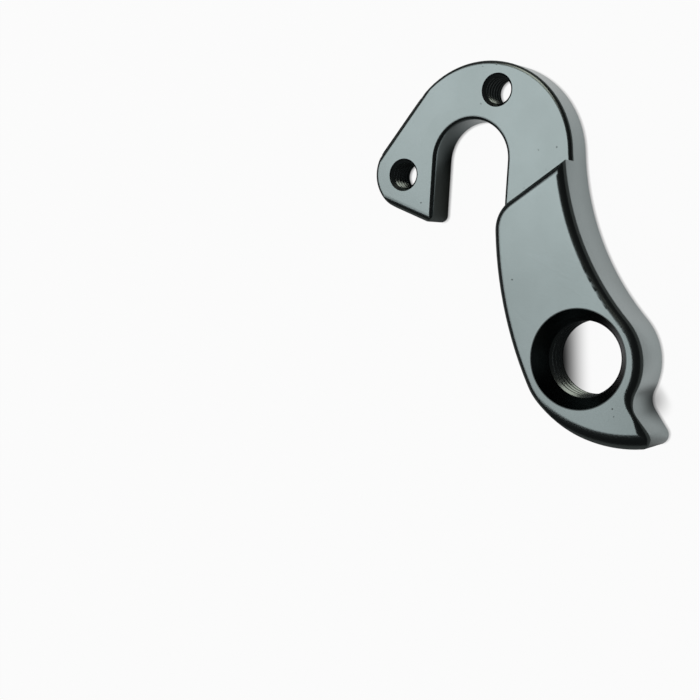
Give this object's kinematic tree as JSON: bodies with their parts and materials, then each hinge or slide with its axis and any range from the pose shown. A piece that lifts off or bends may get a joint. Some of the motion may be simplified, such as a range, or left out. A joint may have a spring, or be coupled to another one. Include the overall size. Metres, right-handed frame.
{
  "type": "bicycle derailleur hanger",
  "caption": "Stepped, hook-shaped aluminium plate that bolts onto a frame's dropout, takes the wheel axle in an open slot and carries the rear derailleur in a threaded eye with a stop tab.",
  "frame": {"origin": "On the derailleur bolt's axis, in the flat outer face that the derailleur turns against.", "axes": "+Y runs from the derailleur bolt to the wheel axle, +Z runs through the plate from the outer face to the pad, and +X points to the back edge of the arm, away from the slot's mouth."},
  "size_m": [0.0266, 0.0534, 0.008],
  "materials": {
    "anodised_aluminium": "black satin anodising over a fine blasted texture"
  },
  "bodies": {
    "root": {"hanger": "anodised_aluminium"}
  },
  "joints": []
}
